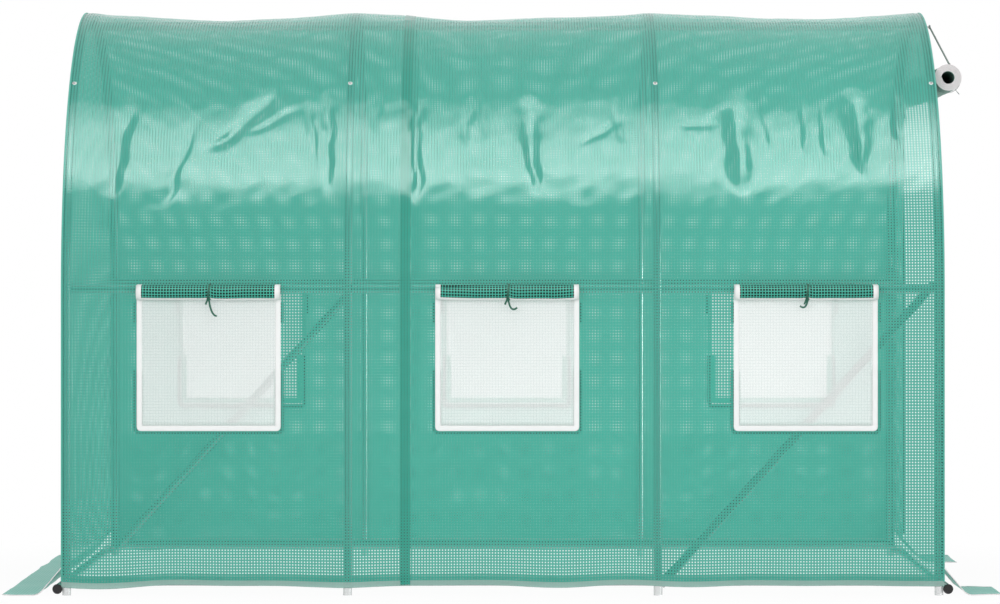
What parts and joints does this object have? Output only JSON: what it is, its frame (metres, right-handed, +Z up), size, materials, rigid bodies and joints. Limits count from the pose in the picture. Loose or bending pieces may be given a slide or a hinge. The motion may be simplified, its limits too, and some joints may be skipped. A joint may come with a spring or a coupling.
{
  "type": "polytunnel greenhouse",
  "caption": "Walk-in polytunnel greenhouse: arched steel tube frame under a translucent green cover, with screened windows, rolled flaps and a rolled-up end door.",
  "frame": {"origin": "on the ground under the middle of the tunnel", "axes": "+X along the tunnel towards the open doorway, +Z up, the pictured long wall at -Y"},
  "size_m": [3.4166, 2.1092, 2.0323],
  "materials": {
    "galvanised_steel": "galvanised, satin",
    "black_plastic": "satin",
    "green_cover": "glossy film with a woven grid",
    "rolled_cover": "glossy film with a woven grid",
    "tie_cord": "woven",
    "screen_mesh": "fine white mesh",
    "white_tape": "woven tape"
  },
  "bodies": {
    "root": {"hoop_1_legs": "galvanised_steel", "hoop_1_side_arcs": "galvanised_steel", "hoop_1_crown": "galvanised_steel", "hoop_2_legs": "galvanised_steel", "hoop_2_side_arcs": "galvanised_steel", "hoop_2_crown": "galvanised_steel", "hoop_3_legs": "galvanised_steel", "hoop_3_side_arcs": "galvanised_steel", "hoop_3_crown": "galvanised_steel", "hoop_4_legs": "galvanised_steel", "hoop_4_side_arcs": "galvanised_steel", "hoop_4_crown": "galvanised_steel", "crown_sleeves": "galvanised_steel", "ridge_rail": "galvanised_steel", "front_waist_rail": "galvanised_steel", "back_waist_rail": "galvanised_steel", "front_bottom_rail": "galvanised_steel", "back_bottom_rail": "galvanised_steel", "left_end_rail": "galvanised_steel", "right_end_rail": "galvanised_steel", "rail_end_caps": "black_plastic", "front_brace": "galvanised_steel", "back_brace": "galvanised_steel", "front_wall_sheet": "green_cover", "back_wall_sheet": "green_cover", "front_eave_sheet": "green_cover", "front_roof_sheet": "green_cover", "front_crown_sheet": "green_cover", "back_crown_sheet": "green_cover", "back_roof_sheet": "green_cover", "back_eave_sheet": "green_cover", "left_end_sheet": "green_cover", "left_skirt": "green_cover", "right_end_front_sheet": "green_cover", "right_end_back_sheet": "green_cover", "right_end_header_sheet": "green_cover", "right_skirts": "green_cover", "door_roll": "rolled_cover", "door_ties": "tie_cord", "back_flap": "green_cover", "window_screens": "screen_mesh", "window_borders": "white_tape", "window_rolls": "rolled_cover"}
  },
  "joints": []
}
